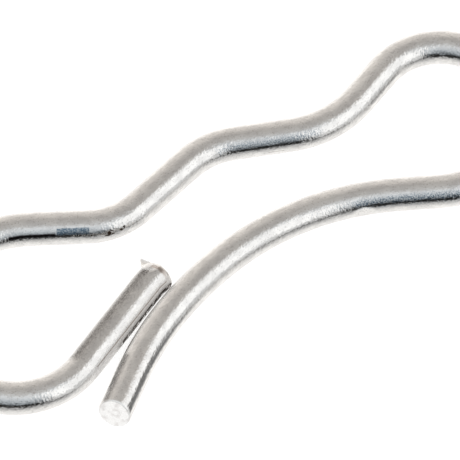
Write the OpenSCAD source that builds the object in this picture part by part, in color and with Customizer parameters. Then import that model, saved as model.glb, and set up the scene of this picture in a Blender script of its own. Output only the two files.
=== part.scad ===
// Double-loop hairpin cotter: one length of round wire bent in a single plane.
// z = 0 is the floor that the clip lies on, and x runs along the clip.
// Two runs of wire leave the top of the hump that hugs the shaft, one to the right and one to the
// left, and each is told as rows of straight feed, bend radius and turn.
// A turn is positive to the left of the way the wire runs.

/* [Wire] */
// Diameter of the round wire
wire_d = 3; // [2.6:0.1:3.4]
// Gap left between the two free ends where they lie side by side
side_gap = 0.2; // [0.05:0.05:0.6]

/* [Hump] */
// Bend radius at the top of the hump, on the middle of the wire
hump_r = 7.2; // [5.5:0.1:9]
// Slope of both flanks of the hump
hump_slope = 18.3; // [15:0.1:22]
// Straight flank to the right of the hump
right_flank = 5.15; // [3.5:0.05:6.5]
// Straight flank to the left of the hump
left_flank = 6.55; // [5:0.05:8]

/* [Right loop] */
// Bend radius of the valley on the right
right_valley_r = 9.6; // [7.5:0.1:12]
// Slope of the straight that climbs from the right valley to the loop
right_rise = 25.8; // [22:0.1:30]
// Length of that straight
right_shoulder = 3.8; // [2.5:0.1:5.5]
// Bend radius at the shoulder of the right loop
right_crest_r = 6.3; // [5:0.1:8]
// Turn made by the shoulder of the right loop
right_crest_turn = 83.9; // [72:0.1:95]
// Bend radius at the end of the right loop
right_loop_r = 7.9; // [7:0.1:9]
// Slope of the back of the right loop
back_slope = 23.4; // [20:0.1:27]
// Straight back of the right loop
back_len = 3.8; // [2:0.1:6]

/* [Bow and tail] */
// Bend radius of the bow that lies against the shaft
bow_r = 25.3; // [22:0.1:29]
// Turn made by the bow
bow_turn = 37.4; // [33:0.1:42]
// Bend radius of the tail that follows the bow
tail_r = 33.4; // [29:0.1:38]
// Slope of the straight end of the tail
tail_slope = 40.6; // [37:0.1:44]
// Straight end of the tail, to its sheared face
tail_len = 4.2; // [3:0.1:6]

/* [Left loop] */
// Bend radius of the valley on the left
left_valley_r = 6.4; // [5:0.1:8]
// Slope of the straight that climbs from the left valley to the loop
left_rise = 25.5; // [22:0.1:29]
// Bend radius at the shoulder of the left loop
left_crest_r = 12.6; // [10:0.1:15]
// Turn made by the shoulder of the left loop
left_crest_turn = 23.5; // [18:0.1:30]
// Bend radius at the end of the left loop
left_loop_r = 8.7; // [7.8:0.1:9.6]
// Turn made by the end of the left loop
left_loop_turn = 144; // [136:0.1:152]

/* [Straight leg] */
// Bend radius at the foot of the straight leg
foot_r = 7.2; // [5.5:0.1:9]
// Slope at which the straight leg comes back beside the tail
leg_slope = 28.4; // [25:0.1:32]
// Straight leg, from its foot to the slight bend before its tip
leg_len = 9.9; // [8.5:0.1:11]
// Bend radius of the tip, which the cutter pushed towards the tail
tip_bend_r = 6; // [4:0.5:9]
// Turn of that slight bend
tip_turn = 9; // [4:0.5:14]
// Straight end past it
tip_len = 1.15; // [0.9:0.05:1.4]

/* [Sheared ends] */
// Rolled edge around the face of the tail
tail_rim = 0.2; // [0.1:0.05:0.4]
// Lean of the face of the tail, which the cutter left looking slightly up
tail_slant = 14; // [6:0.5:20]
// Rolled edge around the tip of the straight leg
tip_rim = 0.5; // [0.3:0.05:0.65]
// Reach of the burr that stands out beside the tip
burr_out = 0.8; // [0.4:0.05:1]
// Length over which the burr flares away from the wire
burr_len = 1.1; // [0.8:0.05:1.6]
// Half of its height
burr_half = 1.1; // [0.9:0.05:1.3]
// Depth of the flat that the cutter pressed into the top of the tip
pinch_depth = 0.22; // [0.1:0.02:0.4]
// Length of the pressed flat along the wire
pinch_len = 1.3; // [0.8:0.1:2]

/* [Tool marks] */
// Radius of the bending post that bruised the hollow side of the bow
post_r = 4; // [2:0.5:8]
// Depth of that bruise
bruise_depth = 0.14; // [0.06:0.02:0.3]
// Turn from the start of the bow to the bruise
bruise_turn = 7.8; // [5:0.1:20]

/* [Hidden] */
$fn = 40;
wire_color = "Silver";
wire_r = wire_d/2;

// Turns that follow from the slopes
half_turn = 180;
right_valley_turn = hump_slope + right_rise;
right_loop_turn = half_turn + right_rise + back_slope - right_crest_turn;
tail_turn = back_slope + tail_slope - bow_turn;
left_valley_turn = hump_slope + left_rise;
foot_turn = half_turn + left_rise + leg_slope - left_crest_turn - left_loop_turn;

// Rows of straight feed, bend radius and turn
right_rows = [
    [0, hump_r, -hump_slope],
    [right_flank, right_valley_r, right_valley_turn],
    [right_shoulder, right_crest_r, -right_crest_turn],
    [0, right_loop_r, -right_loop_turn],
    [back_len, bow_r, bow_turn],
    [0, tail_r, tail_turn]
];
function left_table(shoulder) = [
    [0, hump_r, hump_slope],
    [left_flank, left_valley_r, -left_valley_turn],
    [shoulder, left_crest_r, left_crest_turn],
    [0, left_loop_r, left_loop_turn],
    [0, foot_r, foot_turn],
    [leg_len, tip_bend_r, -tip_turn]
];
leg_row = 5;

// A stand is where the middle of the wire is and the way it heads: x, y, heading
function fed(s, len) = [s[0] + len*cos(s[2]), s[1] + len*sin(s[2]), s[2]];
function hub(s, r, turn) = [s[0] - sign(turn)*r*sin(s[2]), s[1] + sign(turn)*r*cos(s[2])];
function bent(s, r, turn) =
    let (c = hub(s, r, turn), side = sign(turn)*r, h = s[2] + turn)
    [c[0] + side*sin(h), c[1] - side*cos(h), h];
function laid(s, row) = bent(fed(s, row[0]), row[1], row[2]);
function stands(s, rows, i = 0) =
    i == len(rows) ? [s] : concat([s], stands(laid(s, rows[i]), rows, i + 1));

right_stands = stands([0, 0, 0], right_rows);
tail_root = right_stands[len(right_rows)];
function left_table_stands(shoulder) = stands([0, 0, half_turn], left_table(shoulder));

// Points along the middle of the bow and the tail, for keeping the straight leg clear of them
path_steps = 60;
bow_row = 4;
no_row = -1;
bow_root = fed(right_stands[bow_row], back_len);
tail_bend_root = right_stands[bow_row + 1];
near_path = concat(
    [for (i = [0:path_steps]) bent(bow_root, bow_r, bow_turn*(i + 1)/(path_steps + 1))],
    [for (i = [0:path_steps]) bent(tail_bend_root, tail_r, tail_turn*(i + 1)/(path_steps + 1))],
    [for (i = [0:path_steps]) fed(tail_root, tail_len*i/path_steps)]
);

// Distance from point p to the straight between a and b
function off_line(p, a, b) =
    let (ab = b - a, along = max(0, min(1, (p - a)*ab/(ab*ab))))
    norm(p - a - along*ab);
function flat_point(s) = [s[0], s[1]];
function last(list) = list[len(list) - 1];
function clear_between(a, b) =
    min([for (s = near_path) off_line(flat_point(s), flat_point(a), flat_point(b))]);
function leg_clear(shoulder) =
    let (all = left_table_stands(shoulder), a = all[leg_row], b = fed(a, leg_len), c = last(all))
    min(clear_between(a, b), clear_between(b, fed(c, tip_len)));

// The straight that climbs from the left valley is made just long enough for the straight leg
// to lie side_gap away from the tail
shoulder_least = 0;
shoulder_most = 2*left_loop_r;
search_steps = 30;
function shoulder_search(low, high, left) =
    let (mid = (low + high)/2)
    left == 0 ? mid
    : leg_clear(mid) < wire_d + side_gap ? shoulder_search(mid, high, left - 1)
    : shoulder_search(low, mid, left - 1);
left_shoulder = shoulder_search(shoulder_least, shoulder_most, search_steps);
left_rows = left_table(left_shoulder);
left_stands = left_table_stands(left_shoulder);
tip_root = last(left_stands);

// The middle of the floor under the clip, which is put at x = 0, y = 0
left_hub = hub(left_stands[3], left_loop_r, left_loop_turn);
right_hub = hub(right_stands[3], right_loop_r, -right_loop_turn);
left_crest_hub = hub(fed(left_stands[2], left_shoulder), left_crest_r, left_crest_turn);
right_crest_hub = hub(fed(right_stands[2], right_shoulder), right_crest_r, -right_crest_turn);
tail_face = fed(tail_root, tail_len);
low_y = tail_face[1] - wire_r*norm([cos(tail_slope), sin(tail_slope)*tan(tail_slant)]);
high_y = max(left_crest_hub[1] + left_crest_r, right_crest_hub[1] + right_crest_r) + wire_r;
mid_x = (left_hub[0] - left_loop_r + right_hub[0] + right_loop_r)/2;
mid_y = (low_y + high_y)/2;

// The pieces are joined at this small scale, where the rounding of their places is too slight
// to keep their end faces apart, and the joined wire is then drawn at its full size
join_scale = 0.001;

rim_steps = 5;
burr_sink = 0.1;
burr_low = 0.5;
cut_over = 1;
pinch_lean = 35;

// Children are drawn in the frame of a stand: x along the wire, y to its left, z up
module at_stand(s) {
    translate([s[0], s[1], wire_r])
        rotate([0, 0, s[2]])
            children();
}

module straight(s, len) {
    at_stand(s)
        rotate([0, 90, 0])
            cylinder(r = wire_r, h = len);
}

module bend(s, r, turn) {
    c = hub(s, r, turn);
    first = turn > 0 ? s[2] - 90 : s[2] + 90 + turn;
    translate([c[0], c[1], wire_r])
        rotate([0, 0, first])
            rotate_extrude(angle = abs(turn))
                translate([r, 0])
                    circle(r = wire_r);
}

// Straight end with its edge rolled over by the shear
module sheared_end(s, len, rim) {
    rolled = [for (k = [0:rim_steps])
        [wire_r - rim + rim*cos(90*k/rim_steps), len - rim + rim*sin(90*k/rim_steps)]];
    at_stand(s)
        rotate([0, 90, 0])
            rotate_extrude()
                polygon(concat([[0, 0], [wire_r, 0]], rolled, [[0, len]]));
}

// Sheared tail, with its face leaned back so that only the lower edge keeps its roll
module sheared_tail() {
    slant_rise = wire_r*tan(tail_slant);
    difference() {
        sheared_end(tail_root, tail_len + slant_rise, tail_rim);
        at_stand(tail_face)
            rotate([0, -tail_slant, 0])
                translate([0, -wire_r - cut_over, -wire_d])
                    cube([wire_d, wire_d + 2*cut_over, 2*wire_d]);
    }
}

// Burr that flares out to the left of the tip
module burr(s, len) {
    lean = atan((burr_out + burr_sink)/burr_len);
    side = wire_r + burr_out - burr_half/cos(lean);
    at_stand(s)
        intersection() {
            translate([len, side, 0])
                rotate([0, 0, lean])
                    rotate([0, -90, 0])
                        cylinder(r = burr_half, h = 2*(burr_len + wire_d), center = true);
            translate([len - burr_len, -burr_low, -wire_r])
                cube([burr_len, burr_low + wire_r + burr_out, wire_d]);
        }
}

// Flat pressed by the cutter into the upper left of the tip
module pinch_cut(s, len) {
    at_stand(s)
        rotate([-pinch_lean, 0, 0])
            translate([len - pinch_len, 0, wire_r - pinch_depth])
                rotate([0, atan(pinch_depth/pinch_len), 0])
                    translate([0, -wire_r, 0])
                        cube([pinch_len + cut_over, wire_d, wire_d]);
}

// Bend of the bow with the bruise left by the bending post
module bruised_bow() {
    c = hub(bow_root, bow_r, bow_turn);
    reach = bow_r - wire_r + bruise_depth - post_r;
    difference() {
        bend(bow_root, bow_r, bow_turn);
        translate([c[0], c[1], 0])
            rotate([0, 0, bow_root[2] - 90 + bruise_turn])
                translate([reach, 0, -cut_over])
                    cylinder(r = post_r, h = wire_d + 2*cut_over);
    }
}

// Straights and bends of one run, without the bend of the row to be skipped
module laid_run(all_stands, rows, skip) {
    for (i = [0:len(rows) - 1]) {
        if (rows[i][0] > 0)
            scale(join_scale)
                straight(all_stands[i], rows[i][0]);
        if (i != skip)
            scale(join_scale)
                bend(fed(all_stands[i], rows[i][0]), rows[i][1], rows[i][2]);
    }
}

module sheared_tip() {
    difference() {
        union() {
            sheared_end(tip_root, tip_len, tip_rim);
            burr(tip_root, tip_len);
        }
        pinch_cut(tip_root, tip_len);
    }
}

module clip_wire() {
    color(wire_color)
        translate([-mid_x, -mid_y, 0])
            scale(1/join_scale) {
                laid_run(right_stands, right_rows, bow_row);
                scale(join_scale)
                    bruised_bow();
                scale(join_scale)
                    sheared_tail();
                laid_run(left_stands, left_rows, no_row);
                scale(join_scale)
                    sheared_tip();
            }
}

clip_wire();
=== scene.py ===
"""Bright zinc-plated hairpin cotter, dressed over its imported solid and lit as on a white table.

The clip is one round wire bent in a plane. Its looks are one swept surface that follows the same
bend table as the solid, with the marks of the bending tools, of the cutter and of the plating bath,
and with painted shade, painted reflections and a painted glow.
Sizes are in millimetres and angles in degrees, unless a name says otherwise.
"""

import logging
import math
from dataclasses import asdict, dataclass
from enum import Enum
from typing import Iterable, Sequence, Union

import bpy
import numpy as np
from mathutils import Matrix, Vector


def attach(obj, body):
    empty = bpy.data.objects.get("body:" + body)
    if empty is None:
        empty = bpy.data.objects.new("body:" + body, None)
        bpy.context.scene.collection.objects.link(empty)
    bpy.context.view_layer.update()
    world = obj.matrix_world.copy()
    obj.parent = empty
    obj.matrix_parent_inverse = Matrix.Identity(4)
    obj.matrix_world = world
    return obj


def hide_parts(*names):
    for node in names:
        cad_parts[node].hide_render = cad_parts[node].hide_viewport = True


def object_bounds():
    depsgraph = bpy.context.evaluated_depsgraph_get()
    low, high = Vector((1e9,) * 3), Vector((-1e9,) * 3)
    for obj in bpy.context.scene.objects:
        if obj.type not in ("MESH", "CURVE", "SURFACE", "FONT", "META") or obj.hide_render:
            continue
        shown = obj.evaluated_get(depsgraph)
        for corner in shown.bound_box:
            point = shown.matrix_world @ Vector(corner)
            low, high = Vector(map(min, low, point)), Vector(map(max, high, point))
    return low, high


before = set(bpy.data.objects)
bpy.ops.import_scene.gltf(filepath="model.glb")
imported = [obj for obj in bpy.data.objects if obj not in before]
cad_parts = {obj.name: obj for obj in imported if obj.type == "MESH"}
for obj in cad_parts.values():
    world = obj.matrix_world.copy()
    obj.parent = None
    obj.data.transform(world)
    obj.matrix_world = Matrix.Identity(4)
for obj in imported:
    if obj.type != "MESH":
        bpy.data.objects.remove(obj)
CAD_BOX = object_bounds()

log = logging.getLogger("hairpin_cotter")

MM = 0.001
CAD_NODE = "clip_wire"
MATERIAL_SLOT = "zinc_wire"
IMAGE_SIDE_PX = 460

# Rows from the end of a laid run: the bow's bend on the right one, the leg's straight on the left one
BOW_ROW = -3
LEG_ROW = -3
JUST_OVER_ONE = 1.0001
ATTRIBUTES = ("rod", "sheared", "crack", "pinched", "strain")

Tree = bpy.types.NodeTree
Output = bpy.types.NodeSocket
Socket = Union[Output, float, Sequence[float]]
Pair = tuple[float, float]
Colour = tuple[float, float, float, float]
Array = np.ndarray
Line = tuple[Array, Array, Array, Array]


def eased(value: Array, low: float, high: float) -> Array:
    """Smooth step from 0 at low to 1 at high: t squared times 3 minus 2 t.

    Args:
        value: Numbers of any shape.
        low: Where the step starts.
        high: Where the step ends, which may be below low.

    Returns:
        Numbers from 0 to 1 of the same shape.
    """
    t = np.clip((value - low) / (high - low), 0.0, 1.0)
    return t * t * (3.0 - 2.0 * t)


# Shape of the wire


@dataclass(frozen=True)
class Stretch:
    """A straight feed of wire followed by one bend."""

    feed: float
    radius: float
    turn: float


class Course:
    """Middle line of a run of wire, told by its stretches and worked out at any station."""

    def __init__(self, heading: float, stretches: Sequence[Stretch], last_feed: float) -> None:
        """Lays the stretches end to end from the top of the hump.

        Args:
            heading: Way the run leaves the top of the hump.
            stretches: Rows of the bend table.
            last_feed: Straight length after the last bend.
        """
        x, y, way, station = 0.0, 0.0, math.radians(heading), 0.0
        rows = []
        for part in stretches:
            turn = math.radians(part.turn)
            for length, bend in ((part.feed, 0.0), (abs(turn) * part.radius, turn)):
                if length > 0.0:
                    rows.append((station, x, y, way, bend / length))
                    chord = length * np.sinc(bend / (2.0 * math.pi))
                    x += chord * math.cos(way + bend / 2.0)
                    y += chord * math.sin(way + bend / 2.0)
                    way += bend
                    station += length
        rows.append((station, x, y, way, 0.0))
        self.rows = np.array(rows)
        self.length = station + last_feed

    def at(self, station: Array) -> Line:
        """Place and heading at stations along the run.

        On an arc of curvature c, a point at length t lies t sinc(c t / 2) away from the arc's
        start, in the direction halfway between the first and the last heading.

        Args:
            station: Lengths of wire from the top of the hump.

        Returns:
            Arrays of x, y, heading in radians and curvature.
        """
        row = np.clip(np.searchsorted(self.rows[:, 0], station, side="right") - 1, 0, None)
        start, x, y, way, curve = np.moveaxis(self.rows[row], -1, 0)
        t = station - start
        chord = t * np.sinc(curve * t / (2.0 * math.pi))
        halfway = way + curve * t / 2.0
        return x + chord * np.cos(halfway), y + chord * np.sin(halfway), way + curve * t, curve


@dataclass
class ClipWire:
    """The clip's one length of wire, from the tip of its straight leg to its sheared tail."""

    wire_d: float = 3.0
    hump_r: float = 7.2
    hump_slope: float = 18.3
    right_flank: float = 5.15
    right_valley_r: float = 9.6
    right_rise: float = 25.8
    right_shoulder: float = 3.8
    right_crest_r: float = 6.3
    right_crest_turn: float = 83.9
    right_loop_r: float = 7.9
    back_slope: float = 23.4
    back_len: float = 3.8
    bow_r: float = 25.3
    bow_turn: float = 37.4
    tail_r: float = 33.4
    tail_slope: float = 40.6
    tail_len: float = 4.2
    left_flank: float = 6.55
    left_valley_r: float = 6.4
    left_rise: float = 25.5
    left_shoulder: float = 4.9675
    left_crest_r: float = 12.6
    left_crest_turn: float = 23.5
    left_loop_r: float = 8.7
    left_loop_turn: float = 144.0
    foot_r: float = 7.2
    foot_turn: float = 66.4
    leg_len: float = 9.9
    tip_bend_r: float = 6.0
    tip_turn: float = 9.0
    tip_len: float = 1.15

    tail_rim: float = 0.2
    tail_slant: float = 14.0
    slant_reach: float = 3.0
    tip_rim: float = 0.5
    burr_out: float = 0.8
    burr_len: float = 1.1
    burr_half: float = 1.1
    burr_sink: float = 0.1
    burr_curl: float = 0.4
    burr_low: float = 0.5
    pinch_depth: float = 0.22
    pinch_len: float = 1.3
    pinch_lean: float = 35.0
    pinch_ease: float = 0.15
    post_r: float = 4.0
    bruise_depth: float = 0.14
    bruise_turn: float = 7.8

    ring_step: float = 0.2
    sides: int = 96
    rim_rings: int = 7
    face_rings: int = 9
    face_middle: float = 0.04
    rim_torn: Pair = (0.8, 0.1)
    least_facing: float = 0.3
    shear_lip: float = 0.03
    lip_side: Pair = (-0.2, 0.5)
    lip_share: float = 0.9
    box_samples: int = 4000
    leg_samples: int = 60
    tail_samples: int = 160
    gap_reach: float = 1.5
    gap_full: float = 0.3
    crack_reach: float = 0.10
    crack_full: float = 0.4
    crack_apart: Pair = (0.75, 0.55)

    def __post_init__(self) -> None:
        """Lays both runs from the top of the hump and centres them over the floor."""
        self.wire_r = self.wire_d / 2.0
        valley = self.hump_slope + self.right_rise
        right_loop_turn = self.right_crest_turn - 180.0 - self.right_rise - self.back_slope
        tail_turn = self.back_slope + self.tail_slope - self.bow_turn
        self.right = Course(
            0.0,
            (
                Stretch(0.0, self.hump_r, -self.hump_slope),
                Stretch(self.right_flank, self.right_valley_r, valley),
                Stretch(self.right_shoulder, self.right_crest_r, -self.right_crest_turn),
                Stretch(0.0, self.right_loop_r, right_loop_turn),
                Stretch(self.back_len, self.bow_r, self.bow_turn),
                Stretch(0.0, self.tail_r, tail_turn),
            ),
            self.tail_len,
        )
        self.left = Course(
            180.0,
            (
                Stretch(0.0, self.hump_r, self.hump_slope),
                Stretch(self.left_flank, self.left_valley_r, -self.hump_slope - self.left_rise),
                Stretch(self.left_shoulder, self.left_crest_r, self.left_crest_turn),
                Stretch(0.0, self.left_loop_r, self.left_loop_turn),
                Stretch(0.0, self.foot_r, self.foot_turn),
                Stretch(self.leg_len, self.tip_bend_r, -self.tip_turn),
            ),
            self.tip_len,
        )
        self.bow_start = self.right.rows[BOW_ROW, 0]
        self.leg_start = -self.left.rows[LEG_ROW, 0]
        self.bruise_station = self.bow_start + self.bow_r * math.radians(self.bruise_turn)
        low, high = CAD_BOX
        self.shift_x = self.shift_y = 0.0
        stations = np.linspace(-self.left.length, self.right.length, self.box_samples)
        x, y, _, _ = self.middle(stations)
        self.shift_x = (low.x + high.x) / 2.0 / MM - (x.min() + x.max()) / 2.0
        self.shift_y = high.y / MM - self.wire_r - y.max()

    def middle(self, station: Array) -> Line:
        """Middle line of the whole wire, with negative stations on the left run and headings to the tail.

        Args:
            station: Lengths of wire from the top of the hump.

        Returns:
            Arrays of x, y, heading in radians and curvature.
        """
        x, y, way, curve = self.right.at(np.maximum(station, 0.0))
        lx, ly, lway, lcurve = self.left.at(np.maximum(-station, 0.0))
        left = station < 0.0
        return (
            np.where(left, lx, x) + self.shift_x,
            np.where(left, ly, y) + self.shift_y,
            np.where(left, lway + math.pi, way),
            np.where(left, -lcurve, curve),
        )

    def outline(self) -> Array:
        """Rings of the wire from the middle of one end face to the middle of the other.

        Each end is a flat face, a quarter circle that rolls its edge, and then the round wire.

        Returns:
            One row a ring: station, radius, share of that radius at which the ring lies, and
            share of sheared face.
        """
        tip, tail = -self.left.length, self.right.length
        arc = np.radians(np.linspace(90.0, 0.0, self.rim_rings))[1:-1]
        spread = np.linspace(self.face_middle, 1.0, self.face_rings)
        torn = np.linspace(*self.rim_torn, len(arc))

        def end(rim: float) -> Array:
            """Rings of one end from its middle outwards, with depths below the face for stations.

            Args:
                rim: Radius of the rolled edge.

            Returns:
                Rows as the outline has them.
            """
            flat = np.full(self.face_rings, self.wire_r - rim)
            face = np.stack([0.0 * spread, flat, spread, np.ones(self.face_rings)], axis=-1)
            rolled = [rim * (1.0 - np.sin(arc)), self.wire_r - rim + rim * np.cos(arc), 0.0 * arc + 1.0, torn]
            return np.vstack([face, np.stack(rolled, axis=-1)])

        body = np.arange(tip + self.tip_rim, tail - self.tail_rim, self.ring_step)
        round_wire = np.stack([body, 0.0 * body + self.wire_r, 0.0 * body + 1.0, 0.0 * body], axis=-1)
        first, last = end(self.tip_rim), end(self.tail_rim)[::-1]
        first[:, 0] += tip
        last[:, 0] = tail - last[:, 0]
        return np.vstack([first, round_wire, last])

    def worked(self, radius: Array, station: Array, angle: Array) -> Array:
        """Radius left by the tools, by station and angle round the wire.

        Args:
            radius: Radii of the round wire and its rolled edges, as a column.
            station: Stations of the rings, as a column.
            angle: Angles round the wire in radians, as a row. 0 is left of the way to the tail.

        Returns:
            Grid of radii.
        """
        from_tip = station + self.left.length
        radius = self.with_burr(radius, from_tip, angle)
        radius = self.under_cutter(radius, from_tip, angle)
        return self.beside_post(radius, station, angle)

    def with_burr(self, radius: Array, from_tip: Array, angle: Array) -> Array:
        """Radius with the burr, a leaned round bar that stands out beside the tip.

        Cut across, the burr is an ellipse whose middle lies beside the wire's. A ray from the
        wire's middle leaves it at the greater root of a quadratic: the lead plus the square root
        of what is under it, over the ray's squared length measured in the ellipse's half axes.

        Args:
            radius: Radii before the burr.
            from_tip: Lengths of wire from the tip, as a column.
            angle: Angles round the wire in radians, as a row.

        Returns:
            Grid of radii.
        """
        lean = math.atan((self.burr_out + self.burr_sink) / self.burr_len)
        wide = self.burr_half / math.cos(lean)
        beside = self.wire_r + self.burr_out - wide - from_tip * math.tan(lean)
        c, s = -np.cos(angle), np.sin(angle)
        both = c**2 / wide**2 + s**2 / self.burr_half**2
        lead = c * beside / wide**2
        under = lead**2 - both * (beside**2 / wide**2 - 1.0)
        burr = (lead + np.sqrt(np.maximum(under, 0.0))) / both
        in_burr = (from_tip < self.burr_len) & (burr * c > -self.burr_low)
        return np.where(in_burr, np.maximum(radius, burr), radius)

    def under_cutter(self, radius: Array, from_tip: Array, angle: Array) -> Array:
        """Radius that stops at the flat which the cutter pressed into the tip's upper side.

        Args:
            radius: Radii before the flat.
            from_tip: Lengths of wire from the tip, as a column.
            angle: Angles round the wire in radians, as a row.

        Returns:
            Grid of radii.
        """
        pressed = 1.0 + (self.pinch_len - from_tip) / self.pinch_len
        shoulder = eased(from_tip, self.pinch_len, self.pinch_len - self.pinch_ease)
        flat = self.wire_r - self.pinch_depth * pressed * shoulder
        turn = angle - math.radians(90.0 + self.pinch_lean)
        facing = np.cos(turn)
        under = np.abs(radius * np.sin(turn)) < self.wire_r
        in_flat = (from_tip < self.pinch_len) & (facing > self.least_facing) & under
        return np.where(in_flat, np.minimum(radius, flat / np.maximum(facing, self.least_facing)), radius)

    def beside_post(self, radius: Array, station: Array, angle: Array) -> Array:
        """Radius that stops at the round post which bruised the bow.

        Args:
            radius: Radii before the bruise.
            station: Stations of the rings, as a column.
            angle: Angles round the wire in radians, as a row.

        Returns:
            Grid of radii.
        """
        past = np.clip(np.abs(station - self.bruise_station), 0.0, self.post_r)
        post = self.wire_r - self.bruise_depth + self.post_r - np.sqrt(self.post_r**2 - past**2)
        facing = np.cos(angle)
        reach = np.where(facing > self.least_facing, post / np.maximum(facing, self.least_facing), radius)
        return np.minimum(radius, reach)

    def build(self) -> bpy.types.Object:
        """Sweeps the worked section along the middle line and closes both ends.

        A point is the middle line's place, plus radius times cosine to the left, plus radius
        times sine upwards. At the tail, stations slide down with height, which slants the face.

        Returns:
            The wire as one closed mesh, in metres, with its texture coordinates as attributes.
        """
        ring_station, ring_radius, ring_spread, ring_share = self.outline().T
        angle = np.arange(self.sides) * (2.0 * math.pi / self.sides)
        station = ring_station[:, None] + 0.0 * angle[None, :]
        radius = self.worked(ring_radius[:, None], ring_station[:, None], angle[None, :])
        radius = radius * ring_spread[:, None]
        across, height = radius * np.cos(angle), radius * np.sin(angle)

        curl = self.burr_curl * np.maximum(radius - self.wire_r, 0.0) * (station < 0.0)
        near_tail = eased(station, self.right.length - self.slant_reach, self.right.length)
        slide = -height * math.tan(math.radians(self.tail_slant)) * near_tail
        lip = self.shear_lip * eased(height, *self.lip_side) * (ring_share > self.lip_share)[:, None]
        station = station + slide + curl - lip * np.sign(station)

        x, y, way, _ = self.middle(station)
        x, y, z = x - across * np.sin(way), y + across * np.cos(way), self.wire_r + height
        flat = [np.stack(parts, axis=-1).reshape(-1, 3) for parts in ((x, y, z), (station, across, height))]
        points, rod = (np.vstack([p, p[: self.sides].mean(0), p[-self.sides :].mean(0)]) for p in flat)
        share = np.concatenate([np.repeat(ring_share, self.sides), [1.0, 1.0]])
        painted_reflection, line = self.between_ends(points, rod[:, 0])

        mesh = bpy.data.meshes.new("clip_wire_plated")
        mesh.from_pydata((points * MM).tolist(), [], self.faces(len(ring_station)))
        mesh.polygons.foreach_set("use_smooth", np.ones(len(mesh.polygons), bool))
        strain = np.abs(self.middle(rod[:, 0])[3]) * self.wire_r
        for name, values in zip(ATTRIBUTES, (rod, share, line, painted_reflection, strain)):
            store(mesh, name, values)
        mesh.update()
        log.info("wire: %d faces, %.1f mm long", len(mesh.polygons), self.left.length + self.right.length)
        return placed("clip_wire_plated", mesh)

    def faces(self, rings: int) -> list[list[int]]:
        """Quads between neighbouring rings and a fan at each end, all facing outwards.

        Args:
            rings: How many rings the wire has.

        Returns:
            Lists of corner numbers.
        """
        here = np.arange(rings * self.sides).reshape(rings, self.sides)
        beside = np.roll(here, -1, axis=1)
        quads = np.stack([here[:-1], beside[:-1], beside[1:], here[1:]], axis=-1).reshape(-1, 4)
        first, last = rings * self.sides, rings * self.sides + 1
        tip_fan = np.stack([beside[0], here[0], np.full(self.sides, first)], axis=-1)
        tail_fan = np.stack([here[-1], beside[-1], np.full(self.sides, last)], axis=-1)
        return quads.tolist() + tip_fan.tolist() + tail_fan.tolist()

    def between_ends(self, points: Array, station: Array) -> tuple[Array, Array]:
        """How the points of the two free ends lie to the gap between them.

        Args:
            points: Points of the wire's surface.
            station: The station of each point.

        Returns:
            Two numbers a point: 1 where it lines the gap, where a reflection of the white table is painted,
            and 0 away from it, and 1 along the leg's line of closest approach, where shade is painted.
        """
        painted_reflection, line = np.zeros(len(points)), np.zeros(len(points))
        leg = np.linspace(-self.left.length, self.leg_start, self.leg_samples)
        tail = np.linspace(self.bow_start, self.right.length, self.tail_samples)
        for own, other in ((station < self.leg_start, tail), (station > self.bow_start, leg)):
            there, here = (np.stack(self.middle(part)[:2], axis=-1) for part in (other, station[own]))
            flat, apart = (
                np.linalg.norm(place[:, None, :] - there[None, :, :], axis=-1).min(axis=1)
                for place in (points[own][:, :2], here)
            )
            gap = np.hypot(flat, points[own][:, 2] - self.wire_r) - self.wire_r
            apart = apart - self.wire_d
            # Zone by the gap where a reflection of the white table is painted.
            painted_reflection[own] = eased(gap, self.gap_reach, self.gap_full * self.gap_reach)
            # Line of painted shade where the leg comes closest to the tail.
            closest = eased(gap - apart, self.crack_reach, self.crack_full * self.crack_reach)
            line[own] = closest * eased(apart, *self.crack_apart)
        return painted_reflection, line


def store(mesh: bpy.types.Mesh, name: str, values: Array) -> None:
    """Writes one value or vector a point into the mesh, for its material to read.

    Args:
        mesh: The mesh to write to.
        name: Name of the attribute.
        values: One number or one row a point.
    """
    kind, field_name = ("FLOAT_VECTOR", "vector") if values.ndim > 1 else ("FLOAT", "value")
    attribute = mesh.attributes.new(name, kind, "POINT")
    attribute.data.foreach_set(field_name, np.ascontiguousarray(values, np.float32).ravel())


def placed(name: str, data: bpy.types.ID) -> bpy.types.Object:
    """Puts a new object into the scene.

    Args:
        name: Name of the object.
        data: Its mesh, lamp or lens.

    Returns:
        The object.
    """
    made = bpy.data.objects.new(name, data)
    bpy.context.scene.collection.objects.link(made)
    return made


# Shader helpers


class Mixed(Enum):
    """What a mix node mixes, with the places of its two inputs and of its output."""

    RGBA = (6, 7, 2)
    FLOAT = (2, 3, 0)


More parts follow.
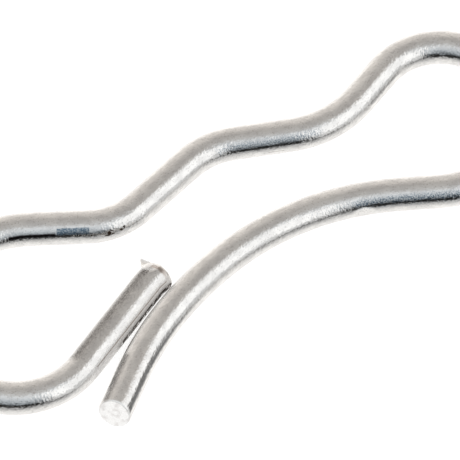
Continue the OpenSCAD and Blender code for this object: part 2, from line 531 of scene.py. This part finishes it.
class Board:
    """The nodes of one tree, added and joined by short calls."""

    def __init__(self, tree: Tree) -> None:
        """Keeps the tree that the nodes go into.

        Args:
            tree: Tree of a material, a world or a group.
        """
        self.tree = tree

    def node(self, kind: str, **settings: object) -> bpy.types.Node:
        """Adds a node and sets its own options.

        Args:
            kind: Blender's name for the kind of node, without ShaderNode.
            settings: Options of the node, by name.

        Returns:
            The new node.
        """
        made = self.tree.nodes.new("ShaderNode" + kind)
        for name, value in settings.items():
            setattr(made, name, value)
        return made

    def feed(self, socket: Output, value: Socket) -> None:
        """Joins another socket to this one, or sets its plain value.

        Args:
            socket: Input that takes the value.
            value: An output of another node, a number or a row of numbers.
        """
        if isinstance(value, Output):
            self.tree.links.new(value, socket)
        else:
            socket.default_value = value

    def fed(
        self, kind: str, values: Iterable[tuple[Union[int, str], Socket]], output: int, **settings: object
    ) -> Output:
        """Adds a node and feeds its inputs.

        Args:
            kind: Blender's name for the kind of node, without ShaderNode.
            values: Place or name of each input, with its value.
            output: Place of the wanted output.
            settings: Options of the node, by name.

        Returns:
            That output of the new node.
        """
        made = self.node(kind, **settings)
        for place, value in values:
            self.feed(made.inputs[place], value)
        return made.outputs[output]

    def math(self, operation: str, first: Socket, second: Socket = 0.0) -> Output:
        """Result of a sum on two numbers.

        Args:
            operation: Blender's name for the sum.
            first: First number.
            second: Second number, unread by sums on one number.

        Returns:
            The result.
        """
        return self.fed("Math", ((0, first), (1, second)), 0, operation=operation)

    def times(self, first: Socket, second: Socket) -> Output:
        """Product of two numbers.

        Args:
            first: First number.
            second: Second number.

        Returns:
            The product.
        """
        return self.math("MULTIPLY", first, second)

    def most(self, first: Socket, *others: Socket) -> Output:
        """Greatest of some numbers.

        Args:
            first: First number.
            others: The rest of the numbers.

        Returns:
            The greatest.
        """
        for other in others:
            first = self.math("MAXIMUM", first, other)
        return first

    def step(
        self, value: Socket, low: Socket, high: Socket, to_low: Socket = 0.0, to_high: Socket = 1.0
    ) -> Output:
        """Number eased from one to another as a value goes from low to high.

        Args:
            value: The value that is read.
            low: Where the step starts.
            high: Where it ends, which may be below low.
            to_low: Number at low.
            to_high: Number at high.

        Returns:
            The eased number.
        """
        given = enumerate((value, low, high, to_low, to_high))
        return self.fed("MapRange", given, 0, interpolation_type="SMOOTHSTEP")

    def mix(self, share: Socket, first: Socket, second: Socket, kind: Mixed = Mixed.RGBA) -> Output:
        """Colour between two colours, or number between two numbers.

        Args:
            share: 0 for the first and 1 for the second.
            first: First colour or number.
            second: Second colour or number.
            kind: Which of them they are.

        Returns:
            The colour or number between them.
        """
        one, two, output = kind.value
        given = ((0, share), (one, first), (two, second))
        return self.fed("Mix", given, output, data_type=kind.name)

    def parts(self, vector: Socket) -> tuple[Output, Output, Output]:
        """The three numbers of a vector.

        Args:
            vector: The vector.

        Returns:
            Its x, y and z.
        """
        made = self.node("SeparateXYZ")
        self.feed(made.inputs[0], vector)
        return tuple(made.outputs)

    def dot(self, first: Socket, second: Vector) -> Output:
        """Dot product of a vector that varies and one that stays.

        Args:
            first: The varying vector.
            second: The other.

        Returns:
            The product.
        """
        return self.fed("VectorMath", ((0, first), (1, tuple(second))), 1, operation="DOT_PRODUCT")

    def noise(self, where: Socket, scale: Socket, detail: Socket, rough: float = 0.5) -> Output:
        """Smooth noise from 0 to 1.

        Args:
            where: Place at which the noise is read.
            scale: Lumps a unit of length.
            detail: Number of finer layers.
            rough: Strength of each finer layer over the one before.

        Returns:
            The noise.
        """
        values = {"Vector": where, "Scale": scale, "Detail": detail, "Roughness": rough}
        return self.fed("TexNoise", values.items(), 0)

    def effect(self, group: Tree, **values: Socket) -> Output:
        """Places a shared effect and gives it its values.

        Args:
            group: The effect's node group.
            values: Values by the names of its inputs.

        Returns:
            The effect's one number.
        """
        return self.fed("Group", values.items(), 0, node_tree=group)


class Part(Enum):
    """Kinds of sockets on a shared effect."""

    NUMBER = "NodeSocketFloat"
    VECTOR = "NodeSocketVector"


class Result(Enum):
    """What a shared effect gives."""

    HEIGHT = "Height"
    MASK = "Mask"


def effect_group(
    name: str, numbers: dict[str, float], result: Result
) -> tuple[Board, dict[str, Output], Output]:
    """Starts a shared effect as a node group with named sockets. Its first input is the place on the rod.

    Args:
        name: Name of the group.
        numbers: Starting value of each number that it takes, by name.
        result: What it gives.

    Returns:
        The group's board, its inputs by name, and the socket that takes the result.
    """
    tree = bpy.data.node_groups.new(name, "ShaderNodeTree")
    tree.interface.new_socket(name="Rod", in_out="INPUT", socket_type=Part.VECTOR.value)
    for title, start in numbers.items():
        socket = tree.interface.new_socket(name=title, in_out="INPUT", socket_type=Part.NUMBER.value)
        socket.default_value = start
    tree.interface.new_socket(name=result.value, in_out="OUTPUT", socket_type=Part.NUMBER.value)
    board = Board(tree)
    given = tree.nodes.new("NodeGroupInput")
    taken = tree.nodes.new("NodeGroupOutput")
    return board, {title: given.outputs[title] for title in ("Rod", *numbers)}, taken.inputs[result.value]


def streaks() -> Tree:
    """Noise stretched or squeezed along the wire, for drawing lines, creases, tears and clouds.

    Returns:
        The effect's node group.
    """
    numbers = {"Along": 8.0, "Across": 0.1, "Layers": 1.0}
    board, given, result = effect_group("streaks", numbers, Result.HEIGHT)
    sizes = (given["Along"], given["Across"], given["Across"])
    lumps = [board.math("DIVIDE", part, size) for part, size in zip(board.parts(given["Rod"]), sizes)]
    where = board.fed("CombineXYZ", enumerate(lumps), 0)
    board.feed(result, board.noise(where, 1.0, given["Layers"]))
    return board.tree


def plating_grain() -> Tree:
    """Small lumps of bright zinc: two sizes of noise, the finer one weaker.

    Returns:
        The effect's node group.
    """
    finer = 2.3
    board, given, result = effect_group("plating grain", {"Size": 0.3, "Fine": 0.35}, Result.HEIGHT)
    scale = board.math("DIVIDE", 1.0, given["Size"])
    coarse = board.noise(given["Rod"], scale, 0.0)
    fine = board.noise(given["Rod"], board.times(scale, finer), 0.0)
    board.feed(result, board.mix(given["Fine"], coarse, fine, Mixed.FLOAT))
    return board.tree


def flecks() -> Tree:
    """Scattered spots: cells of a few sizes, of which a share is kept at random.

    Returns:
        The effect's node group.
    """
    uneven, core = 5.0, 0.5
    numbers = {"Spacing": 0.6, "Size": 0.3, "Kept": 0.2, "Share": 1.0}
    board, given, result = effect_group("flecks", numbers, Result.MASK)
    cells = board.node("TexVoronoi")
    board.feed(cells.inputs["Vector"], given["Rod"])
    board.feed(cells.inputs["Scale"], board.math("DIVIDE", 1.0, given["Spacing"]))
    red, _, _ = board.parts(cells.outputs["Color"])
    kept = board.math("LESS_THAN", red, given["Kept"])
    reach = board.times(given["Size"], board.noise(given["Rod"], uneven, 1.0))
    spot = board.step(cells.outputs["Distance"], reach, board.times(reach, core))
    board.feed(result, board.times(board.times(spot, kept), given["Share"]))
    return board.tree


def tool_patch() -> Tree:
    """A ragged patch of given length and width, at a station and an angle round the wire.

    Returns:
        The effect's node group.
    """
    tooth, layers = 3.0, 3.0
    place = {"Station": 0.0, "Angle": 90.0, "Length": 2.0, "Width": 0.6}
    edge = {"Ragged": 0.2, "Fade": 0.05, "Share": 1.0}
    board, given, result = effect_group("tool patch", {**place, **edge}, Result.MASK)
    along, across, height = board.parts(given["Rod"])
    turn = board.math("RADIANS", given["Angle"])
    sine, cosine = board.math("SINE", turn), board.math("COSINE", turn)
    beside = board.math("SUBTRACT", board.times(height, cosine), board.times(across, sine))
    outward = board.math("ADD", board.times(across, cosine), board.times(height, sine))
    uneven = board.math("SUBTRACT", board.noise(given["Rod"], tooth, layers), 0.5)
    stray = board.times(uneven, given["Ragged"])

    def inside(distance: Socket, whole: Socket) -> Output:
        """Share of the patch along one of its two ways.

        Args:
            distance: How far the point lies from the patch's middle.
            whole: The patch's size that way.

        Returns:
            1 within half of whole from the middle, with a ragged soft edge.
        """
        left = board.math("SUBTRACT", board.math("DIVIDE", whole, 2.0), board.math("ABSOLUTE", distance))
        return board.step(board.math("ADD", left, stray), board.times(given["Fade"], -1.0), given["Fade"])

    from_middle = board.math("SUBTRACT", along, given["Station"])
    mask = board.times(inside(from_middle, given["Length"]), inside(beside, given["Width"]))
    mask = board.times(mask, board.math("GREATER_THAN", outward, 0.0))
    board.feed(result, board.times(mask, given["Share"]))
    return board.tree


# Finishes


@dataclass(frozen=True)
class Patch:
    """A mark at one place on the wire: where it lies, how large and ragged it is, and how much it covers."""

    station: float
    angle: float
    length: float
    width: float
    ragged: float
    fade: float = 0.05
    share: float = 1.0


@dataclass(frozen=True)
class Streaks:
    """Noise with lumps of one size along the wire and another across it, and with finer layers."""

    along: float
    across: float
    layers: float = 1.0


@dataclass(frozen=True)
class Grain:
    """Lumps of the plating: their size, and the share of the finer ones."""

    size: float
    fine: float


@dataclass(frozen=True)
class Flecks:
    """Scattered spots: spacing of their cells, size, share of the cells that hold one, and strength."""

    spacing: float
    size: float
    kept: float
    share: float = 1.0


@dataclass(frozen=True)
class Palette:
    """Linear colours of the plating, of what lies on it, and of painted shade and reflection."""

    pale: Colour = (0.82, 0.815, 0.80, 1.0)
    dull: Colour = (0.72, 0.715, 0.705, 1.0)
    pit: Colour = (0.42, 0.40, 0.385, 1.0)
    # Darker patches along one side of the leg and of the tail.
    stain: Colour = (0.17, 0.165, 0.16, 1.0)
    film: Colour = (0.13, 0.20, 0.265, 1.0)
    # Rust; also the colour of the painted dark reflection line along the leg.
    rust: Colour = (0.30, 0.24, 0.205, 1.0)
    soot: Colour = (0.022, 0.012, 0.014, 1.0)
    torn: Colour = (0.96, 0.945, 0.925, 1.0)
    smudge: Colour = (0.78, 0.755, 0.735, 1.0)
    # Painted reflection of the white table beside the gap.
    lime: Colour = (0.93, 0.92, 0.90, 1.0)
    # Grime, and the painted shade in the gap between leg and tail.
    grime: Colour = (0.055, 0.036, 0.024, 1.0)
    unlit: Colour = (0.0, 0.0, 0.0, 1.0)


@dataclass(frozen=True)
class Marks:
    """Patches at known places: marks that the tools, the bath and handling left, darker patches, and painted
    reflections.
    """

    film: Patch = Patch(-15.15, 138.0, 2.85, 0.62, 0.16)
    # Dark rubbed streak on the left run.
    rubbed: Patch = Patch(-18.9, 148.0, 4.4, 0.26, 0.10, 0.10)
    grimy: Patch = Patch(-12.3, 156.0, 2.6, 0.46, 0.5)
    hump: Patch = Patch(5.0, 138.0, 9.5, 0.7, 0.5, 0.35, share=0.57)
    bow: Patch = Patch(50.5, 36.0, 11.0, 0.75, 0.5, 0.35, share=0.95)
    scratch: Patch = Patch(5.9, 181.0, 1.4, 0.07, 0.12, 0.05, share=0.6)
    rim: Patch = Patch(-65.6, 62.0, 0.42, 2.2, 0.3, 0.12, share=0.75)
    notch: Patch = Patch(-64.5, 112.0, 0.55, 0.5, 0.5, 0.12)
    # Painted dark reflection line along the leg, in the rust colour.
    seam: Patch = Patch(-59.8, 31.0, 11.0, 0.10, 0.06, 0.03, share=0.8)
    # Painted reflection of the white table on the leg.
    leg_pale: Patch = Patch(-57.0, 6.0, 7.0, 1.6, 0.3, 0.5)
    # Darker patches along one side of the leg and of the tail.
    leg_stain: Patch = Patch(-59.5, 120.0, 12.0, 1.1, 0.3, 0.5)
    tail_stain: Patch = Patch(85.6, 130.0, 6.4, 0.7, 0.3, 0.3)


class ZincReader:
    """What the finish reads at the shaded point: the mesh's attributes, and the shared effects' numbers."""

    def __init__(self, board: Board) -> None:
        """Adds the attributes and builds the shared effects.

        Args:
            board: Board of the material.
        """
        self.board = board
        nodes = [board.node("Attribute", attribute_name=name) for name in ATTRIBUTES]
        self.rod = nodes[0].outputs["Vector"]
        self.sheared, self.crack, self.pinched, self.strain = (node.outputs["Fac"] for node in nodes[1:])
        self.effects = {Streaks: streaks(), Grain: plating_grain(), Flecks: flecks(), Patch: tool_patch()}

    def of(self, kind: Union[Streaks, Grain, Flecks, Patch]) -> Output:
        """Number that the effect of a kind of mark gives here.

        Args:
            kind: The mark's values, whose names are those of the effect's inputs.

        Returns:
            The mark's height or its share.
        """
        values = {name.capitalize(): value for name, value in asdict(kind).items()}
        return self.board.effect(self.effects[type(kind)], Rod=self.rod, **values)


@dataclass(frozen=True)
class BrightZinc:
    """Bright zinc plating over drawn steel wire, torn and dull at the sheared ends, which carry a painted
    glow.
    """

    palette: Palette = Palette()
    marks: Marks = Marks()
    specks: Flecks = Flecks(0.7, 0.22, 0.04, share=0.5)
    spots: Flecks = Flecks(0.30, 1.4, 0.6)
    pits: Flecks = Flecks(0.15, 1.1, 0.25, share=0.3)
    stain_between: float = 0.6
    film_bare: float = 0.5
    lining_rust: float = 0.3
    pore_scale: float = 9.0
    pore_detail: float = 2.0
    pore_rough: float = 0.6
    pore_edge: Pair = (0.42, 0.60)
    cloud: Streaks = Streaks(1.0, 0.6)
    cloud_edge: Pair = (0.30, 0.70)
    face_edge: Pair = (0.48, 0.74)
    crack_edge: Pair = (0.38, 0.50)

    smooth_rough: float = 0.08
    dull_rough: float = 0.14
    dull_edge: Pair = (0.3, 0.75)
    torn_rough: float = 0.55
    dirt_rough: float = 0.6
    torn_metallic: float = 0.1
    # Painted glow: the sheared faces emit their own colour.
    torn_glow: float = 0.36

    relief_m: float = 0.000036
    grain: Grain = Grain(0.34, 0.4)
    grain_height: float = 0.6
    fine_scale: float = 7.5
    fine_height: float = 0.11
    line: Streaks = Streaks(9.0, 0.12)
    line_height: float = 0.08
    tear: Streaks = Streaks(0.12, 0.5)
    wrinkle: Streaks = Streaks(0.19, 0.30, 0.0)
    straight_wrinkle: float = 0.2
    bent_wrinkle: float = 0.6
    full_strain: float = 0.25
    dirt_depth: float = 0.3

    def material(self) -> bpy.types.Material:
        """Builds the material from the shared effects.

        Returns:
            A material that reads the piece's attributes.
        """
        made = bpy.data.materials.new(MATERIAL_SLOT)
        made.use_nodes = True
        board = Board(made.node_tree)
        sockets = made.node_tree.nodes["Principled BSDF"].inputs
        read = ZincReader(board)
        grain = read.of(self.grain)
        clouds = read.of(self.cloud)
        # Where a reflection of the white table is painted: beside the gap and on the leg.
        painted_reflection = board.most(read.pinched, read.of(self.marks.leg_pale))
        # Grime, with a line of painted shade along the gap.
        dirt = self.dirt(read, grain)
        colour = self.colour(read, clouds, painted_reflection, dirt)

        rough = board.step(clouds, *self.dull_edge, self.smooth_rough, self.dull_rough)
        rough = board.mix(read.sheared, rough, self.torn_rough, Mixed.FLOAT)
        bump = board.node("Bump")
        bump.inputs["Strength"].default_value = 1.0
        bump.inputs["Distance"].default_value = self.relief_m
        board.feed(bump.inputs["Height"], self.relief(read, grain, dirt))
        # Mirror rays pass through the wire, except in the zone where the table's reflection is painted.
        mirrored = board.node("LightPath").outputs["Is Glossy Ray"]
        in_mirror = board.times(mirrored, board.math("SUBTRACT", 1.0, painted_reflection))

        board.feed(sockets["Base Color"], colour)
        board.feed(sockets["Roughness"], board.mix(dirt, rough, self.dirt_rough, Mixed.FLOAT))
        dull = board.most(read.sheared, painted_reflection)
        board.feed(sockets["Metallic"], board.mix(dull, 1.0, self.torn_metallic, Mixed.FLOAT))
        board.feed(sockets["Alpha"], board.math("SUBTRACT", 1.0, in_mirror))
        # Painted glow: the sheared faces emit their own colour.
        board.feed(sockets["Emission Color"], board.mix(read.sheared, self.palette.unlit, colour))
        board.feed(sockets["Emission Strength"], self.torn_glow)
        board.feed(sockets["Normal"], bump.outputs["Normal"])
        return made

    def dirt(self, read: ZincReader, grain: Output) -> Output:
        """Where grime lies, as specks and spots in the left valley, and a broken line of painted shade along
        the gap.

        Args:
            read: The point's attributes and effects.
            grain: Height of the plating's grain.

        Returns:
            Share of grime and of the painted shade in the gap, from 0 to 1.
        """
        board = read.board
        soil = board.times(read.of(self.spots), read.of(self.marks.grimy))
        # Painted shade along the gap, broken up by the grain.
        line = board.times(read.crack, board.step(grain, *self.crack_edge))
        return board.most(read.of(self.specks), soil, line)

    def colour(self, read: ZincReader, clouds: Output, painted_reflection: Output, dirt: Output) -> Output:
        """Colour of the surface, with painted shade and reflection, laid on in the order in which the marks
        were made.

        Args:
            read: The point's attributes and effects.
            clouds: Slow unevenness of the plating.
            painted_reflection: Share of the painted reflection of the white table by the gap.
            dirt: Share of grime and of the painted shade in the gap.

        Returns:
            The colour.
        """
        board, shade, marks = read.board, self.palette, self.marks
        pores = board.step(
            board.noise(read.rod, self.pore_scale, self.pore_detail, self.pore_rough), *self.pore_edge
        )
        # Darker patches, broken up by the pores.
        darkenings = board.most(read.of(marks.leg_stain), read.of(marks.tail_stain))
        darkened_share = board.times(darkenings, board.mix(pores, self.stain_between, 1.0, Mixed.FLOAT))
        covered = board.math("SUBTRACT", 1.0, board.times(pores, self.film_bare))
        film = board.times(read.of(marks.film), covered)
        mottled = board.times(board.most(read.of(marks.bow), read.of(marks.hump)), pores)
        rusty = board.most(read.of(marks.scratch), read.of(marks.rim))
        sooty = board.most(read.of(marks.rubbed), board.times(read.of(marks.notch), pores))
        face = board.mix(board.step(clouds, *self.face_edge), shade.torn, shade.smudge)
        # Painted reflection of the white table, with rust between the pores.
        rubbed = board.mix(board.times(pores, self.lining_rust), shade.lime, shade.rust)

        colour = board.mix(board.step(clouds, *self.cloud_edge), shade.pale, shade.dull)
        for share, over in (
            (read.of(self.pits), shade.pit),
            (darkened_share, shade.stain),
            (film, shade.film),
            (mottled, shade.film),
            (rusty, shade.rust),
            (sooty, shade.soot),
            (read.sheared, face),
            (painted_reflection, rubbed),
            # Painted dark reflection line along the leg.
            (read.of(marks.seam), shade.rust),
            # Grime, and the painted shade in the gap.
            (dirt, shade.grime),
        ):
            colour = board.mix(share, colour, over)
        return colour

    def relief(self, read: ZincReader, grain: Output, dirt: Output) -> Output:
        """Height of the fine relief: creases, grain, drawing lines and tears, with grime and the gap's
        painted shade filling it in.

        Args:
            read: The point's attributes and effects.
            grain: Height of the plating's grain.
            dirt: Share of grime and of the painted shade in the gap.

        Returns:
            The height, as a share of the relief's depth.
        """
        board = read.board
        creased = board.step(read.strain, 0.0, self.full_strain, self.straight_wrinkle, self.bent_wrinkle)
        fine = board.noise(read.rod, self.fine_scale, 0.0)
        height = board.times(read.of(self.wrinkle), creased)
        for part, strength in (
            (grain, self.grain_height),
            (fine, self.fine_height),
            (read.of(self.line), self.line_height),
            (read.of(self.tear), read.sheared),
        ):
            height = board.math("ADD", height, board.times(part, strength))
        return board.math("SUBTRACT", height, board.times(dirt, self.dirt_depth))


# Studio


@dataclass(frozen=True)
class Glow:
    """Brightness that the room shows at one elevation, and how warm it is from -1 (cool) to 1."""

    elevation: float
    strength: float
    warmth: float


@dataclass(frozen=True)
class Area:
    """A part of the room with a light of its own, told by its edges in degrees.

    It is full within `full` of its azimuth and gone beyond `out`. Upwards it rises over its first
    two heights and falls over the last two. Azimuths go right from the camera's side.
    """

    azimuth: float
    out: float
    full: float
    heights: tuple[float, float, float, float]
    colour: Colour
    share: float = 1.0


@dataclass
class Studio:
    """White table, pale room and one broad soft panel, with the photograph's camera."""

    camera_way: tuple[float, float, float] = (-0.2660, -0.4919, 0.8290)
    target: tuple[float, float, float] = (-0.084, 1.116, 1.5)
    camera_distance: float = 840.0
    focal_px: float = 9520.0
    sensor: float = 36.0
    clip_start: float = 0.05
    clip_end: float = 20.0
    floor_side: float = 2400.0
    floor_grey: float = 0.86
    floor_glow: float = 0.62
    lamp_azimuth: float = 80.0
    lamp_elevation: float = 50.0
    lamp_distance: float = 900.0
    lamp_side: float = 900.0
    lamp_watts: float = 1.0
    opening: Area = Area(108.0, 36.0, 14.0, (-38.0, -20.0, 4.0, 18.0), (0.05, 0.055, 0.06, 1.0), 0.85)
    wall: Area = Area(60.0, 40.0, 16.0, (-13.0, -5.0, 10.0, 20.0), (0.74, 0.74, 0.74, 1.0))
    panel: Area = Area(72.0, 52.0, 28.0, (2.0, 18.0, 46.0, 72.0), (1.22, 1.22, 1.22, 1.0))
    white: Colour = (1.0, 1.0, 1.0, 1.0)
    turn_to_camera: Pair = (-0.3, 0.85)
    tint: tuple[float, float, float] = (0.06, 0.0, -0.055)
    camera_side: tuple[Glow, ...] = (
        Glow(-90.0, 1.10, 0.3), Glow(-50.0, 0.97, 0.3), Glow(-32.0, 0.68, 0.2), Glow(-18.0, 0.42, 0.0),
        Glow(-10.0, 0.04, 0.4), Glow(0.0, 0.01, 0.2), Glow(5.0, 0.10, -1.0), Glow(12.0, 0.24, -1.4),
        Glow(22.0, 0.44, -1.3), Glow(38.0, 0.68, -1.0), Glow(60.0, 0.84, -0.5), Glow(90.0, 0.54, 0.4),
    )
    far_side: tuple[Glow, ...] = (
        Glow(-90.0, 1.10, 0.3), Glow(-15.0, 1.20, 0.5), Glow(-6.0, 1.08, 0.8), Glow(5.0, 0.84, 0.9),
        Glow(20.0, 0.78, 1.0), Glow(35.0, 0.68, 1.0), Glow(50.0, 0.55, 0.9), Glow(66.0, 0.47, 0.8),
        Glow(90.0, 0.52, 0.5),
    )

    def __post_init__(self) -> None:
        """Works out the level directions towards the camera's side and its right."""
        self.back = Vector(self.camera_way).normalized()
        self.toward = Vector((self.back.x, self.back.y, 0.0)).normalized()
        self.rightward = Vector((-self.toward.y, self.toward.x, 0.0))

    def build(self) -> None:
        """Makes the floor, the room, the soft lamp and the camera."""
        for make in (self.floor, self.room, self.lamp, self.camera):
            make()

    def level_way(self, azimuth: float) -> Vector:
        """Level direction at an azimuth.

        Args:
            azimuth: Degrees from the camera's side towards its right.

        Returns:
            A direction of length 1.
        """
        turn = math.radians(azimuth)
        return self.toward * math.cos(turn) + self.rightward * math.sin(turn)

    def floor(self) -> None:
        """A square white table top under the clip. Mirror rays pass it and see the room's pale lower half."""
        half = self.floor_side / 2.0 * MM
        corners = [(-half, -half, 0.0), (half, -half, 0.0), (half, half, 0.0), (-half, half, 0.0)]
        mesh = bpy.data.meshes.new("table_top")
        mesh.from_pydata(corners, [], [(0, 1, 2, 3)])
        top = placed("table_top", mesh)
        made = bpy.data.materials.new("white_table")
        made.use_nodes = True
        board = Board(made.node_tree)
        made.node_tree.nodes.clear()
        paint = board.node("BsdfDiffuse")
        paint.inputs["Color"].default_value = (self.floor_grey, self.floor_grey, self.floor_grey, 1.0)
        path = board.node("LightPath")
        glow = board.node("Emission")
        board.feed(glow.inputs["Strength"], board.times(path.outputs["Is Camera Ray"], self.floor_glow))
        lit = board.fed("AddShader", ((0, paint.outputs[0]), (1, glow.outputs[0])), 0)
        clear = board.node("BsdfTransparent")
        unseen = board.most(path.outputs["Is Glossy Ray"], path.outputs["Is Shadow Ray"])
        either = board.fed("MixShader", ((0, unseen), (1, lit), (2, clear.outputs[0])), 0)
        board.feed(board.node("OutputMaterial").inputs["Surface"], either)
        mesh.materials.append(made)
        log.info("table top: %.0f mm square", self.floor_side)

    def room(self) -> None:
        """Room light that changes with elevation and from side to side. The camera sees white."""
        world = bpy.data.worlds.new("pale_room")
        bpy.context.scene.world = world
        world.use_nodes = True
        board = Board(world.node_tree)
        world.node_tree.nodes.clear()
        way = board.node("TexCoord").outputs["Generated"]
        _, _, rise = board.parts(way)
        level = board.math("SQRT", board.math("SUBTRACT", JUST_OVER_ONE, board.times(rise, rise)))
        facing = board.math("DIVIDE", board.dot(way, self.toward), level)
        near = self.bands(board, rise, self.camera_side)
        far = self.bands(board, rise, self.far_side)
        light = board.mix(board.step(facing, *self.turn_to_camera), far, near)
        for area in (self.opening, self.wall, self.panel):
            light = board.mix(self.reach(board, way, rise, level, area), light, area.colour)
        path = board.node("LightPath")
        glow = board.node("Background")
        board.feed(glow.inputs["Color"], board.mix(path.outputs["Is Camera Ray"], light, self.white))
        board.feed(board.node("OutputWorld").inputs["Surface"], glow.outputs[0])

    def reach(self, board: Board, way: Output, rise: Output, level: Output, area: Area) -> Output:
        """Share of an area in the light from a direction: its share of the width times that of the height.

        Args:
            board: Board of the world.
            way: Direction that is looked up.
            rise: Sine of its elevation.
            level: Length of its level part.
            area: The area.

        Returns:
            The area's own share in its middle, and 0 outside its edges.
        """
        near = board.math("DIVIDE", board.dot(way, self.level_way(area.azimuth)), level)
        width = board.step(near, math.cos(math.radians(area.out)), math.cos(math.radians(area.full)))
        foot, low, high, top = (math.sin(math.radians(height)) for height in area.heights)
        height = board.times(board.step(rise, foot, low), board.step(rise, top, high))
        return board.times(board.times(width, height), area.share)

    def bands(self, board: Board, rise: Output, glows: tuple[Glow, ...]) -> Output:
        """Colour of one side of the room by elevation, as a ramp over the direction's rise.

        Args:
            board: Board of the world.
            rise: Sine of the elevation that is looked up.
            glows: Brightness and warmth at rising elevations, from straight down to straight up.

        Returns:
            The side's colour.
        """
        ramp = board.node("ValToRGB")
        board.feed(ramp.inputs[0], board.times(board.math("ADD", rise, 1.0), 0.5))
        stops = ramp.color_ramp.elements
        for glow in glows[1:-1]:
            stops.new((math.sin(math.radians(glow.elevation)) + 1.0) / 2.0)
        for stop, glow in zip(stops, glows):
            stop.color = [glow.strength * (1.0 + glow.warmth * part) for part in self.tint] + [1.0]
        return ramp.outputs["Color"]

    def lamp(self) -> None:
        """A broad soft lamp to the right of the camera, for the shadow on the table."""
        lift = math.radians(self.lamp_elevation)
        way = self.level_way(self.lamp_azimuth) * math.cos(lift) + Vector((0.0, 0.0, math.sin(lift)))
        light = bpy.data.lights.new("soft_lamp", "AREA")
        light.size = self.lamp_side * MM
        light.energy = self.lamp_watts
        lamp = placed("soft_lamp", light)
        lamp.location = way * (self.lamp_distance * MM)
        lamp.rotation_euler = way.to_track_quat("Z", "Y").to_euler()
        lamp.visible_glossy = False
        log.info("soft lamp: %.0f degrees up", self.lamp_elevation)

    def camera(self) -> None:
        """The photograph's camera: far off, with a long lens, looking down on the clip."""
        lens = bpy.data.cameras.new("photo_camera")
        lens.sensor_width = self.sensor
        lens.lens = self.focal_px * self.sensor / IMAGE_SIDE_PX
        lens.clip_start, lens.clip_end = self.clip_start, self.clip_end
        camera = placed("photo_camera", lens)
        camera.location = (Vector(self.target) + self.back * self.camera_distance) * MM
        camera.rotation_euler = self.back.to_track_quat("Z", "Y").to_euler()
        bpy.context.scene.camera = camera
        log.info("camera: %.0f mm off with a %.0f mm lens", self.camera_distance, lens.lens)


def main() -> None:
    """Builds the wire, dresses it, and lights it."""
    logging.basicConfig(level=logging.INFO)
    scene = bpy.context.scene
    scene.view_settings.view_transform = "Standard"
    wire = ClipWire().build()
    wire.data.materials.append(BrightZinc().material())
    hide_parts(CAD_NODE)
    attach(wire, "root")
    Studio().build()


if __name__ == "__main__":
    main()
